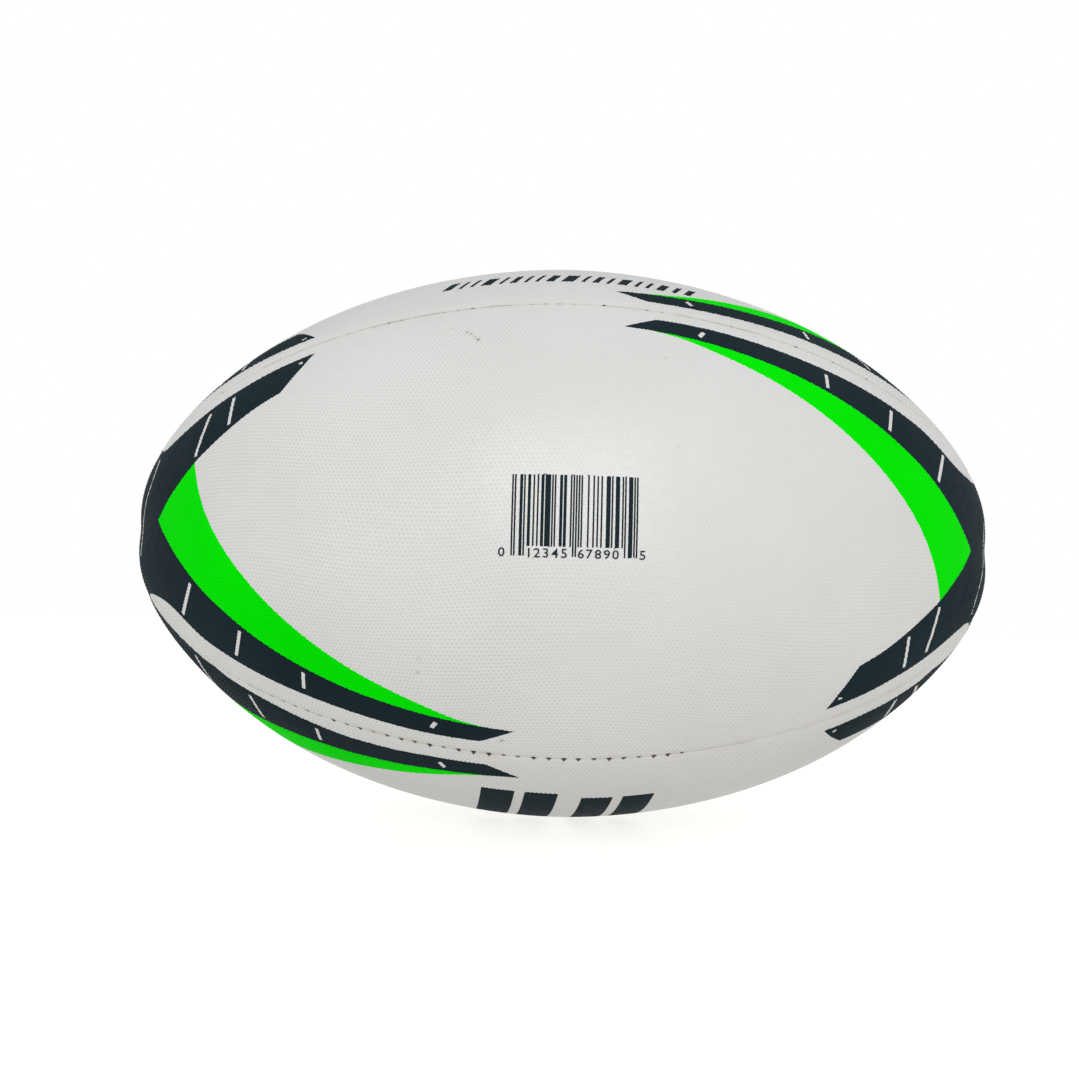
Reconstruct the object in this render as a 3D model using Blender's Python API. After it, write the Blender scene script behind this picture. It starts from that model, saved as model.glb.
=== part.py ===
"""A stitched rugby ball as its separate pieces.

Metres, +Z up. The long axis is X and the origin is the centre of the ball.
The four panels are centred on -Y (front), +Z (top), +Y (back) and -Z
(bottom), so the four seams run along the ball at 45 degrees between them.
From outside to inside: rubber panel, three cloth plies, bladder. The valve
stands in the middle of the back panel.
"""
import math

import bmesh
import bpy
from mathutils import Matrix, Vector

MM = 0.001

# Outside shape.
LENGTH = 292.0 * MM
SEAM_RADIUS = 93.1 * MM      # centre line to a seam, at mid-length
LENGTH_POWER = 1.907         # how full the ball is towards its ends
RADIUS_POWER = 1.856
FLAT_MIDDLE = 0.004          # how far a panel's middle lies below its seams
FLAT_ENDS = 0.244            # the same near the ends, where the ball is squarer
FLAT_POWER = 6.83

# Layers, as depths below the outside surface.
PANEL_DEPTH = 1.2 * MM
FLAP_DEPTH = 3.6 * MM        # how far a panel's turned-in edge reaches
FLAP_THICKNESS = 1.2 * MM
PLY_COUNT = 3
PLY_THICKNESS = 0.4 * MM
PLY_GAP = 0.35 * MM
BLADDER_TOP = 4.1 * MM
BLADDER_BOTTOM = 5.0 * MM
PATCH_TOP = 5.35 * MM
PATCH_BOTTOM = 6.1 * MM

# Seams.
SEAM_HALF_GAP = 0.6 * MM     # seam plane to a panel's edge
THREAD_RADIUS = 0.3 * MM
THREAD_DEPTH = 1.7 * MM
PLY_INSET = SEAM_HALF_GAP + FLAP_THICKNESS + 0.3 * MM
TIP_RADIUS = 2.2 * MM        # seam radius where a panel ends in its tip
PLY_TIP_RADIUS = 9.0 * MM    # seam radius where the plies end

# Valve, along +Y through the back panel.
VALVE_HOLE_RADIUS = 4.4 * MM
VALVE_RADIUS = 4.0 * MM
VALVE_RECESS = 0.5 * MM
VALVE_FOOT = 20.0 * MM
FLANGE_RADIUS = 8.0 * MM
FLANGE_TOP = 7.6 * MM
FLANGE_BOTTOM = 8.8 * MM
CORE_HOLE_RADIUS = 2.3 * MM
CORE_HOLE_DEPTH = 18.0 * MM
CORE_RADIUS = 2.0 * MM
CORE_TOP = 0.8 * MM
CORE_BOTTOM = 17.5 * MM
NEEDLE_RADIUS = 0.7 * MM
NEEDLE_DEPTH = 13.0 * MM
PATCH_RADIUS = 14.0 * MM

# Mesh density.
STATIONS = 18                # steps along the ball, even so one is at the middle
COLUMNS = 6                  # steps across a panel, even so one is at its middle
ROUND_STEPS = 24

QUARTER = math.pi / 4
SIDES = ("front", "top", "back", "bottom")


def seam_radius(x):
    """Distance from the long axis to a seam at x."""
    full = 1.0 - abs(2.0 * x / LENGTH) ** LENGTH_POWER
    return SEAM_RADIUS * max(full, 0.0) ** (1.0 / RADIUS_POWER)


def flatness(x):
    """How far a panel's middle lies below its seams at x, as a fraction."""
    share = abs(2.0 * x / LENGTH) ** FLAT_POWER
    return FLAT_MIDDLE + (FLAT_ENDS - FLAT_MIDDLE) * share


def x_at(radius):
    """Where along the ball its seams have this radius."""
    full = 1.0 - (radius / SEAM_RADIUS) ** RADIUS_POWER
    return 0.5 * LENGTH * full ** (1.0 / LENGTH_POWER)


def slope_normal(x):
    """Outward normal of the outline at x, as its x and radial parts."""
    step = 1e-6
    rise = (seam_radius(x + step) - seam_radius(x - step)) / (2.0 * step)
    size = math.hypot(rise, 1.0)
    return -rise / size, 1.0 / size


def layer_point(x, angle, depth):
    """Point at x and angle from a panel's middle, sunk by depth.

    The panel's middle faces -Y.
    """
    along, out = slope_normal(x)
    flat = flatness(x) * (0.5 + 0.5 * math.cos(4.0 * angle))
    radius = seam_radius(x) * (1.0 - flat) - depth * out
    return Vector((x - depth * along, -radius * math.cos(angle), radius * math.sin(angle)))


def edge_angle(x, depth, inset):
    """Angle at which a layer is inset away from the seam plane."""
    angle = QUARTER
    for _ in range(20):
        point = layer_point(x, angle, depth)
        radius = math.hypot(point.y, point.z)
        angle = QUARTER - math.asin(min(inset / radius, 0.7))
    return angle


def layer_row(x, depth, inset):
    """One row of points across a panel."""
    edge = edge_angle(x, depth, inset)
    row = []
    for column in range(COLUMNS + 1):
        share = 2.0 * column / COLUMNS - 1.0
        row.append(layer_point(x, share * edge, depth))
    return row


def station_positions():
    """Positions along the ball, from one tip to the other."""
    tip = x_at(TIP_RADIUS)
    ply_tip = x_at(PLY_TIP_RADIUS)
    start = math.acos(2.0 * ply_tip / LENGTH)
    inner = STATIONS - 2
    places = [-tip]
    for step in range(inner + 1):
        turn = start + (math.pi - 2.0 * start) * step / inner
        places.append(-0.5 * LENGTH * math.cos(turn))
    places.append(tip)
    return places


def turn_to_side(side):
    """Rotation that carries the front panel to the named side."""
    return Matrix.Rotation(-SIDES.index(side) * 0.5 * math.pi, 4, "X")


def make_material(name, color, roughness):
    material = bpy.data.materials.new(name)
    material.use_nodes = True
    shader = material.node_tree.nodes["Principled BSDF"]
    shader.inputs["Base Color"].default_value = (*color, 1.0)
    shader.inputs["Roughness"].default_value = roughness
    return material


def make_object(name, bm, material, smooth_angle=math.radians(40)):
    """Turn a bmesh into a named object with outward faces."""
    bmesh.ops.recalc_face_normals(bm, faces=bm.faces[:])
    mesh = bpy.data.meshes.new(name)
    bm.to_mesh(mesh)
    bm.free()
    mesh.shade_smooth()
    mesh.set_sharp_from_angle(angle=smooth_angle)
    mesh.materials.append(material)
    item = bpy.data.objects.new(name, mesh)
    bpy.context.scene.collection.objects.link(item)
    return item


def loft(bm, rings):
    """Join closed rings of equal length with quads."""
    count = len(rings[0])
    rows = [[bm.verts.new(point) for point in ring] for ring in rings]
    for low, high in zip(rows, rows[1:]):
        for place in range(count):
            after = (place + 1) % count
            bm.faces.new((low[place], low[after], high[after], high[place]))
    return rows


def split_outward(bm):
    """Split each four-sided face along the diagonal that lies farther out.

    Every layer is then creased the same way, so no two layers touch.
    """
    for face in [face for face in bm.faces if len(face.verts) == 4]:
        first, second, third, fourth = face.verts
        if (first.co + third.co).length > (second.co + fourth.co).length:
            bmesh.utils.face_split(face, first, third)
        else:
            bmesh.utils.face_split(face, second, fourth)


def panel_ring(x):
    """Closed section of a panel at x, with its two turned-in edges."""
    tip_half_width = seam_radius(x) * math.sin(QUARTER) - SEAM_HALF_GAP
    flap = min(FLAP_THICKNESS, 0.35 * tip_half_width)
    inner_edge = SEAM_HALF_GAP + flap
    outer = layer_row(x, 0.0, SEAM_HALF_GAP)
    inner = layer_row(x, PANEL_DEPTH, inner_edge)
    foot_out = edge_angle(x, FLAP_DEPTH, SEAM_HALF_GAP)
    foot_in = edge_angle(x, FLAP_DEPTH, inner_edge)
    ring = list(outer)
    ring.append(layer_point(x, foot_out, FLAP_DEPTH))
    ring.append(layer_point(x, foot_in, FLAP_DEPTH))
    ring.extend(reversed(inner))
    ring.append(layer_point(x, -foot_in, FLAP_DEPTH))
    ring.append(layer_point(x, -foot_out, FLAP_DEPTH))
    return ring


def close_panel_end(bm, row):
    """Fill a panel's tip with quads between its outer and inner rows."""
    inner_start = COLUMNS + 3
    last = inner_start + COLUMNS
    for column in range(COLUMNS):
        bm.faces.new((row[column], row[column + 1], row[last - column - 1], row[last - column]))
    bm.faces.new((row[COLUMNS], row[COLUMNS + 1], row[COLUMNS + 2], row[inner_start]))
    bm.faces.new((row[last], row[last + 1], row[last + 2], row[0]))


def make_panel(side, places, material):
    bm = bmesh.new()
    rows = loft(bm, [panel_ring(x) for x in places])
    close_panel_end(bm, rows[0])
    close_panel_end(bm, rows[-1])
    split_outward(bm)
    item = make_object("panel_" + side, bm, material)
    item.matrix_world = turn_to_side(side)
    return item


def make_sheet(name, places, top, bottom, inset, material):
    """A layer of even thickness that lies inside one panel."""
    bm = bmesh.new()
    rings = []
    for x in places:
        ring = layer_row(x, top, inset)
        ring.extend(reversed(layer_row(x, bottom, inset)))
        rings.append(ring)
    rows = loft(bm, rings)
    last = 2 * COLUMNS + 1
    for row in (rows[0], rows[-1]):
        for column in range(COLUMNS):
            bm.faces.new((row[column], row[column + 1], row[last - column - 1], row[last - column]))
    split_outward(bm)
    return make_object(name, bm, material)


def bladder_skin(bm, places, depth):
    """One closed surface of the bladder, all the way round the ball."""
    rings = []
    for x in places:
        ring = []
        for side in SIDES:
            turn = turn_to_side(side)
            for column in range(COLUMNS):
                angle = (2.0 * column / COLUMNS - 1.0) * QUARTER
                ring.append(turn @ layer_point(x, angle, depth))
        rings.append(ring)
    rows = loft(bm, rings)
    reach = 0.5 * LENGTH - depth
    for row, x in ((rows[0], -reach), (rows[-1], reach)):
        pole = bm.verts.new((x, 0.0, 0.0))
        for place, vert in enumerate(row):
            bm.faces.new((vert, row[(place + 1) % len(row)], pole))
    split_outward(bm)


def make_bladder(places, material):
    outside = bmesh.new()
    bladder_skin(outside, places, BLADDER_TOP)
    item = make_object("bladder", outside, material)
    inside = bmesh.new()
    bladder_skin(inside, places, BLADDER_BOTTOM)
    hollow = make_object("cut_bladder_inside", inside, material)
    cut_with(item, hollow, "DIFFERENCE")
    return item


def cut_with(item, cutter, operation):
    """Add an exact Boolean and hide its cutter from the result."""
    modifier = item.modifiers.new(cutter.name, "BOOLEAN")
    modifier.operation = operation
    modifier.solver = "EXACT"
    modifier.object = cutter
    cutter.hide_render = True
    cutter.display_type = "WIRE"


def spun(name, outline, material):
    """Spin a closed outline of (radius, depth) points about the valve's axis."""
    surface = -layer_point(0.0, 0.0, 0.0).y
    bm = bmesh.new()
    verts = [bm.verts.new((radius, surface - depth, 0.0)) for radius, depth in outline]
    edges = [bm.edges.new(pair) for pair in zip(verts, verts[1:])]
    if outline[0][0] > 0.0:
        edges.append(bm.edges.new((verts[-1], verts[0])))
    bmesh.ops.spin(
        bm,
        geom=verts + edges,
        cent=(0.0, 0.0, 0.0),
        axis=(0.0, 1.0, 0.0),
        angle=2.0 * math.pi,
        steps=ROUND_STEPS,
        use_merge=True,
    )
    bmesh.ops.remove_doubles(bm, verts=bm.verts[:], dist=1e-6)
    return make_object(name, bm, material, math.radians(30))


def make_valve_body(material):
    outline = (
        (CORE_HOLE_RADIUS, VALVE_RECESS),
        (VALVE_RADIUS, VALVE_RECESS),
        (VALVE_RADIUS, FLANGE_TOP),
        (FLANGE_RADIUS, FLANGE_TOP),
        (FLANGE_RADIUS, FLANGE_BOTTOM),
        (VALVE_RADIUS, FLANGE_BOTTOM),
        (VALVE_RADIUS, VALVE_FOOT),
        (0.0, VALVE_FOOT),
        (0.0, CORE_HOLE_DEPTH),
        (CORE_HOLE_RADIUS, CORE_HOLE_DEPTH),
        (CORE_HOLE_RADIUS, VALVE_RECESS),
    )
    return spun_open("valve_body", outline, material)


def make_valve_core(material):
    outline = (
        (NEEDLE_RADIUS, CORE_TOP),
        (CORE_RADIUS, CORE_TOP),
        (CORE_RADIUS, CORE_BOTTOM),
        (0.0, CORE_BOTTOM),
        (0.0, NEEDLE_DEPTH),
        (NEEDLE_RADIUS, NEEDLE_DEPTH),
        (NEEDLE_RADIUS, CORE_TOP),
    )
    return spun_open("valve_core", outline, material)


def spun_open(name, outline, material):
    """Spin an outline that leaves the axis and returns to it."""
    foot = outline.index(next(point for point in outline if point[0] == 0.0))
    ordered = outline[foot + 1:-1] + outline[:foot + 1]
    return spun(name, ordered, material)


def make_valve_patch(places, material):
    """A round patch that follows the bladder's inner face round the valve."""
    middle = len(places) // 2
    patch = make_sheet(
        "valve_patch", places[middle - 1:middle + 2], PATCH_TOP, PATCH_BOTTOM, PLY_INSET, material
    )
    patch.matrix_world = turn_to_side("back")
    outline = (
        (VALVE_HOLE_RADIUS, 0.0),
        (PATCH_RADIUS, 0.0),
        (PATCH_RADIUS, VALVE_FOOT),
        (VALVE_HOLE_RADIUS, VALVE_FOOT),
    )
    ring = spun("cut_valve_patch", outline, material)
    cut_with(patch, ring, "INTERSECT")
    return patch


def make_thread(name, side, places, material):
    """The thread of one seam, on the side's upper edge."""
    curve = bpy.data.curves.new(name, "CURVE")
    curve.dimensions = "3D"
    curve.bevel_depth = THREAD_RADIUS
    curve.bevel_resolution = 1
    curve.use_fill_caps = True
    curve.render_resolution_u = 0
    spline = curve.splines.new("POLY")
    spline.points.add(len(places) - 1)
    turn = turn_to_side(side)
    for point, x in zip(spline.points, places):
        point.co = (*(turn @ layer_point(x, QUARTER, THREAD_DEPTH)), 1.0)
    curve.materials.append(material)
    item = bpy.data.objects.new(name, curve)
    bpy.context.scene.collection.objects.link(item)
    return item


def build():
    for item in list(bpy.data.objects):
        bpy.data.objects.remove(item, do_unlink=True)
    rubber = make_material("panel_rubber", (0.80, 0.80, 0.78), 0.55)
    cloth = make_material("ply_cloth", (0.78, 0.74, 0.64), 0.9)
    latex = make_material("bladder_latex", (0.62, 0.44, 0.24), 0.5)
    dark = make_material("valve_rubber", (0.04, 0.04, 0.045), 0.5)
    core = make_material("core_rubber", (0.09, 0.09, 0.10), 0.45)
    thread = make_material("seam_thread", (0.30, 0.22, 0.15), 0.8)

    places = station_positions()
    inner_places = places[1:-1]

    panels = {side: make_panel(side, places, rubber) for side in SIDES}
    plies = {side: [] for side in SIDES}
    for side in SIDES:
        for number in range(PLY_COUNT):
            top = PANEL_DEPTH + PLY_GAP + number * (PLY_GAP + PLY_THICKNESS)
            name = "ply_%s_%d" % (side, number + 1)
            ply = make_sheet(name, inner_places, top, top + PLY_THICKNESS, PLY_INSET, cloth)
            ply.matrix_world = turn_to_side(side)
            plies[side].append(ply)
    bladder = make_bladder(inner_places, latex)

    hole_outline = ((0.0, -0.01), (VALVE_HOLE_RADIUS, -0.01), (VALVE_HOLE_RADIUS, 0.012), (0.0, 0.012))
    hole = spun("cut_valve_hole", hole_outline, dark)
    for item in [panels["back"], *plies["back"], bladder]:
        cut_with(item, hole, "DIFFERENCE")

    make_valve_patch(places, latex)
    make_valve_body(dark)
    make_valve_core(core)
    make_thread("thread_front_top", "front", places, thread)
    make_thread("thread_top_back", "top", places, thread)
    make_thread("thread_back_bottom", "back", places, thread)
    make_thread("thread_bottom_front", "bottom", places, thread)


build()
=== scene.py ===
"""Looks of the rugby ball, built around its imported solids.

Metres, +Z up, long axis on X, front panel on -Y. Every panel is a sheet of
small triangles over (x, angle): x runs along the ball and angle, in radians,
is measured from the panel's own middle line. Pimples are corners of these
triangles that stand proud. The print is cut into the triangles, so that each
colour is its own material on exact outlines. All four panels are made as the
front one and then turned to their sides.
"""

import math

import bpy
import numpy as np
from mathutils import Matrix, Vector


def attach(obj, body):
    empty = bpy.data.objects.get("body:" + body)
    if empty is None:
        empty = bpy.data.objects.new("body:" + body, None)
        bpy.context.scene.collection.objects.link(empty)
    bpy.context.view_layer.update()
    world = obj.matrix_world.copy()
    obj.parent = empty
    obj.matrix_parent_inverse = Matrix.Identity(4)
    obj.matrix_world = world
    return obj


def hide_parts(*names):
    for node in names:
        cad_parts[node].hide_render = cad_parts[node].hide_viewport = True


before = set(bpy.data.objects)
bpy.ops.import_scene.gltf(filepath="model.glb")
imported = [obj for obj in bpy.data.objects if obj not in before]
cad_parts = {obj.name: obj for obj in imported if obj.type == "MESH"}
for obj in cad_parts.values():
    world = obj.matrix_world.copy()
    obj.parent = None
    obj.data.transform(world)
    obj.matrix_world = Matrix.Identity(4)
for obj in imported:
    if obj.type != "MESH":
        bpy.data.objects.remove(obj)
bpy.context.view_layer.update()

MM = 0.001
SIDES = ("front", "top", "back", "bottom")
MIRRORED = ("top", "bottom")             # panels whose print is the mirror image
QUARTER = math.pi / 4

# ---------------------------------------------------------------- shape
HALF_LENGTH = 145.85 * MM    # at the foot of the pimples
SEAM_RADIUS = 92.95 * MM     # long axis to a seam, at mid-length
LENGTH_POWER = 1.907         # how full the ball is towards its ends
RADIUS_POWER = 1.856
FLAT_MIDDLE = 0.004          # how far a panel's middle lies below its seams
FLAT_ENDS = 0.244            # the same near the ends
FLAT_POWER = 6.83
TIP_X = HALF_LENGTH - 0.005 * MM         # where panels and seams end
FINE_RADIUS = 9.0 * MM       # seam edges get finer inside this radius
FINEST = 0.12                # and end at this share of their width

# ---------------------------------------------------------------- grain
PIMPLE_PITCH = 1.27 * MM
PIMPLE_HEIGHT = 0.24 * MM
HOLLOW_LIFT = 0.38           # every second hollow is this much shallower
SHALLOW_HOLLOW_SHADE = 0.65          # how light the painted shade leaves the shallow hollows, against 1 for a top
PANEL_REACH = 0.83           # half a panel's width round the ball, of the seam radius
GRAIN_SCATTER = 0.06         # how unevenly the pimples stand, in mm
GRAIN_EDGE = {               # pimples rise between these distances from a seam, in mm
    "front": (0.6, 1.1), "top": (1.7, 2.7), "back": (0.6, 1.1), "bottom": (2.0, 3.6),
}

# ---------------------------------------------------------------- seams
# Width of the smooth turned-in edge of each panel, in mm.
BAND = {"front": 0.65, "top": 0.85, "back": 0.65, "bottom": 1.6}
# Half of the gap between two panels, in mm.
SLOT = {"front_top": 0.11, "top_back": 0.05, "back_bottom": 0.07, "bottom_front": 0.03}
SEAM_OF = {
    ("front", 1): "front_top", ("top", -1): "front_top",
    ("top", 1): "top_back", ("back", -1): "top_back",
    ("back", 1): "back_bottom", ("bottom", -1): "back_bottom",
    ("bottom", 1): "bottom_front", ("front", -1): "bottom_front",
}
STITCH_PITCH = 4.3 * MM
STITCH_SCATTER = 0.12 * MM

# ---------------------------------------------------------------- camera
CAMERA_DISTANCE = 361.2 * MM
CAMERA_PITCH = math.radians(3.96)
CAMERA_YAW = math.radians(0.99)
CAMERA_ROLL = math.radians(1.50)
SENSOR_WIDTH = 36.0          # in mm, as Blender takes it
LENS = 34.302                # in mm
CAMERA_SHIFT = (-0.02363, 0.0038)


def seam_radius(x):
    """Distance from the long axis to a seam."""
    full = 1.0 - np.abs(x / HALF_LENGTH) ** LENGTH_POWER
    return SEAM_RADIUS * np.maximum(full, 1e-12) ** (1.0 / RADIUS_POWER)


def radius(x, angle):
    """Distance from the long axis to the outside surface."""
    flat = FLAT_MIDDLE + (FLAT_ENDS - FLAT_MIDDLE) * np.abs(x / HALF_LENGTH) ** FLAT_POWER
    return seam_radius(x) * (1.0 - flat * (0.5 + 0.5 * np.cos(4.0 * angle)))


def surface(x, angle):
    """Points on the outside of the front panel."""
    r = radius(x, angle)
    return np.stack([x, -r * np.cos(angle), r * np.sin(angle)], axis=-1)


def normal(x, angle):
    """Outward normals on the outside of the front panel."""
    step = 1e-5
    low = np.clip(x - step, -HALF_LENGTH, HALF_LENGTH)
    high = np.clip(x + step, -HALF_LENGTH, HALF_LENGTH)
    along = surface(high, angle) - surface(low, angle)
    round_ = surface(x, angle + 1e-4) - surface(x, angle - 1e-4)
    out = np.cross(along, round_)
    return out / np.maximum(np.linalg.norm(out, axis=-1, keepdims=True), 1e-12)


def outline_normal(x):
    """Outward normal of a seam's own curve: its x and radial parts."""
    step = 1e-5
    high = seam_radius(np.minimum(x + step, HALF_LENGTH))
    low = seam_radius(np.maximum(x - step, -HALF_LENGTH))
    rise = (high - low) / (2 * step)
    size = np.hypot(rise, 1.0)
    return -rise / size, 1.0 / size


def seam_distance(x, angle):
    """Distance from the nearer seam plane, positive inside the panel."""
    return radius(x, angle) * np.sin(QUARTER - np.abs(angle))


def narrowing(x):
    """Seam edges get finer where the four seams meet at the tips."""
    return np.clip(seam_radius(x) / FINE_RADIUS, FINEST, 1.0)


def arc_table():
    """Places along the ball and how far along a seam they are."""
    turn = np.linspace(0.0, math.pi, 4001)
    x = -TIP_X * np.cos(turn)
    r = seam_radius(x)
    run = np.concatenate([[0.0], np.cumsum(np.hypot(np.diff(x), np.diff(r)))])
    return x, run - run[-1] / 2


ARC_X, ARC_RUN = arc_table()


def x_at_run(run):
    """Place along the ball from the distance along a seam."""
    return np.interp(run, ARC_RUN, ARC_X)


def side_turn(side):
    """Turn that carries the front panel to another side."""
    return Matrix.Rotation(-SIDES.index(side) * 0.5 * math.pi, 3, "X")


# ---------------------------------------------------------------- cutting
class Sheet:
    """Triangles with flat places (x, angle), places in space and values."""

    def __init__(self, flat, place, value, faces):
        self.flat = flat
        self.place = place
        self.value = value
        self.faces = faces

    def cut(self, line, box):
        """Split edges that line crosses inside box, so that faces end on it."""
        x_low, x_high, a_low, a_high = box
        fx = self.flat[self.faces, 0]
        fa = self.flat[self.faces, 1]
        near = (fx.max(1) >= x_low) & (fx.min(1) <= x_high) & (fa.max(1) >= a_low) & (fa.min(1) <= a_high)
        some = self.faces[near]
        if not len(some):
            return
        total = len(self.flat)
        used = np.unique(some)
        level = np.zeros(total)
        level[used] = line(self.flat[used, 0], self.flat[used, 1])
        ends = np.sort(some[:, [0, 1, 1, 2, 2, 0]].reshape(-1, 2), axis=1)
        keys, where = np.unique(ends[:, 0] * total + ends[:, 1], return_inverse=True)
        first, second = keys // total, keys % total
        la, lb = level[first], level[second]
        share = np.where(la * lb < 0, la / np.where(la == lb, 1.0, la - lb), 0.0)
        crossed = (share > 0.05) & (share < 0.95)
        point = self.flat[first] + (self.flat[second] - self.flat[first]) * share[:, None]
        crossed &= (point[:, 0] >= x_low) & (point[:, 0] <= x_high)
        crossed &= (point[:, 1] >= a_low) & (point[:, 1] <= a_high)
        if not crossed.any():
            return
        fresh = np.full(len(keys), -1)
        fresh[crossed] = total + np.arange(crossed.sum())
        s = share[crossed][:, None]
        first, second = first[crossed], second[crossed]
        self.flat = np.concatenate([self.flat, point[crossed]])
        self.place = np.concatenate([self.place, self.place[first] * (1 - s) + self.place[second] * s])
        mixed = self.value[first] * (1 - s[:, 0]) + self.value[second] * s[:, 0]
        self.value = np.concatenate([self.value, mixed])
        self.faces = np.concatenate([self.faces[~near], split_faces(some, fresh[where].reshape(-1, 3))])

    def drop(self, outside):
        """Take away the faces whose middle lies outside."""
        middle = self.flat[self.faces].mean(1)
        self.faces = self.faces[~outside(middle[:, 0], middle[:, 1])]


def split_faces(faces, mids):
    """Faces with new corners mids on their edges, -1 where an edge is whole."""
    count = (mids >= 0).sum(1)
    done = [faces[count == 0]]
    for turn in range(3):
        order = [turn, (turn + 1) % 3, (turn + 2) % 3]
        f, m = faces[:, order], mids[:, order]
        one = (count == 1) & (m[:, 0] >= 0)
        a, b, c, p = f[one, 0], f[one, 1], f[one, 2], m[one, 0]
        done += [np.stack([a, p, c], 1), np.stack([p, b, c], 1)]
        two = (count == 2) & (m[:, 2] < 0)
        a, b, c, p, q = f[two, 0], f[two, 1], f[two, 2], m[two, 0], m[two, 1]
        done += [np.stack([p, b, q], 1), np.stack([a, p, q], 1), np.stack([a, q, c], 1)]
    three = count == 3
    a, b, c = faces[three].T
    p, q, r = mids[three].T
    done += [np.stack(t, 1) for t in ((a, p, r), (p, b, q), (r, q, c), (p, q, r))]
    return np.concatenate(done)


# ---------------------------------------------------------------- print
def smooth_line(points):
    """A smooth function through (x in mm, angle in degrees) points."""
    x = np.array([p[0] for p in points], float) * MM
    a = np.radians([p[1] for p in points])
    order = np.argsort(x)
    x, a = x[order], a[order]
    step = np.diff(x)
    slope = np.diff(a) / step
    tangent = np.empty(len(x))
    tangent[0], tangent[-1] = slope[0], slope[-1]
    tangent[1:-1] = (slope[:-1] * step[1:] + slope[1:] * step[:-1]) / (step[:-1] + step[1:])

    def height(at):
        at = np.clip(at, x[0], x[-1])
        k = np.clip(np.searchsorted(x, at) - 1, 0, len(x) - 2)
        t = (at - x[k]) / step[k]
        h = step[k]
        return (
            (2 * t**3 - 3 * t**2 + 1) * a[k]
            + (t**3 - 2 * t**2 + t) * h * tangent[k]
            + (3 * t**2 - 2 * t**3) * a[k + 1]
            + (t**3 - t**2) * h * tangent[k + 1]
        )

    return height


# Outlines of the printed swoosh at the -x end. The +x end is the same print
# turned by half a turn about the panel's middle.
SHORT_TIP = (-76.5, 41.1)
SHORT_CORNER = (-85.0, 30.9)
LONG_TIP = (-14.0, -38.5)
LONG_CORNER = (-23.8, -41.8)
GREEN_APEX = (-128.3, 2.4)
GREEN_TOP = (-112.8, 19.3)
GREEN_END = -22.0            # the green ends at this x, under the long arm's tip
BODY_END = -134.9            # everything beyond this x is black
EDGE_SHORT = smooth_line([
    (-132.2, 46), (-131.2, 41.5), (-129, 38), (-125, 36.6), (-120, 36.6),
    (-115, 37.2), (-108, 38.3), (-100, 39.2), (-90, 40.3), SHORT_TIP,
])
EDGE_INNER = smooth_line([
    GREEN_APEX, (-126.2, 6), (-123.5, 9.9), (-120, 13.4), (-116, 16.9),
    GREEN_TOP, (-107, 22.5), (-100, 25.9), (-93, 28.7), SHORT_CORNER,
])
EDGE_GREEN = smooth_line([
    GREEN_APEX, (-126.2, -2), (-123.4, -6), (-120, -10.2), (-115, -14.9),
    (-108, -20), (-100, -24), (-90, -28), (-80, -30.9), (-70, -33.1),
    (-60, -34.8), (-50, -36), (-40, -37), (-30, -37.7), LONG_TIP,
])
EDGE_HOLLOW = smooth_line([
    GREEN_TOP, (-111.6, 14.6), (-110.1, 10), (-108, 5), (-105.2, 0), (-100, -6.7),
    (-95, -11.5), (-90, -15.4), (-85, -18.7), (-80, -21.5), (-70, -26.1),
    (-60, -29.7), (-50, -32.5), (-40, -34.9), (-30, -37.1), (-23, -38.05),
])
EDGE_LONG = smooth_line([
    (-135, -46), (-134, -41), (-132, -37), (-129, -34.3), (-125.5, -32.6),
    (-121, -32.4), (-116, -33.9), (-110, -36), (-100, -37.6), (-85, -39.1),
    (-70, -40), (-55, -40.9), (-40, -41.6), LONG_CORNER,
])
# How far off the middle each panel was cut out of its printed sheet, in mm.
PRINT_SHIFT = {"front": 0.0, "top": -2.1, "back": 0.8, "bottom": 1.6}


def straight(x, start, end):
    """Angle on the line from start to end, both in (mm, degrees)."""
    x0, a0 = start[0] * MM, math.radians(start[1])
    x1, a1 = end[0] * MM, math.radians(end[1])
    return a0 + (a1 - a0) * (x - x0) / (x1 - x0)


def short_inner(x):
    """Inner edge of the short arm, out to its tip."""
    return np.where(x < SHORT_CORNER[0] * MM, EDGE_INNER(x), straight(x, SHORT_CORNER, SHORT_TIP))


def long_outer(x):
    """Outer edge of the long arm, out to its tip."""
    return np.where(x < LONG_CORNER[0] * MM, EDGE_LONG(x), straight(x, LONG_CORNER, LONG_TIP))


# The bottom panel was cut narrower, so its print comes closer to the seams:
# distances from mid-length in mm, and how much wider the print is there.
NARROW_LONG = ((50, 65, 81, 96, 104, 112, 120, 128), (1, 1.015, 1.058, 1.116, 1.154, 1.235, 1.36, 1.42))
NARROW_SHORT = ((80, 97, 110, 115, 122, 130), (1, 1.03, 1.066, 1.12, 1.08, 1))


def spread(side, x, angle):
    """How far a panel's print is spread towards its seams, at the -x end."""
    if side != "bottom":
        return np.ones_like(x)
    return np.where(angle < 0, np.interp(-x / MM, *NARROW_LONG), np.interp(-x / MM, *NARROW_SHORT))


# Edges of the print, each with the x in mm where it starts and ends.
PRINT_LINES = (
    (EDGE_SHORT, -133.0, SHORT_TIP[0]),
    (short_inner, GREEN_APEX[0], SHORT_TIP[0]),
    (EDGE_GREEN, GREEN_APEX[0], LONG_TIP[0]),
    (EDGE_HOLLOW, GREEN_TOP[0], -23.0),
    (long_outer, -135.0, LONG_TIP[0]),
)

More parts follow.
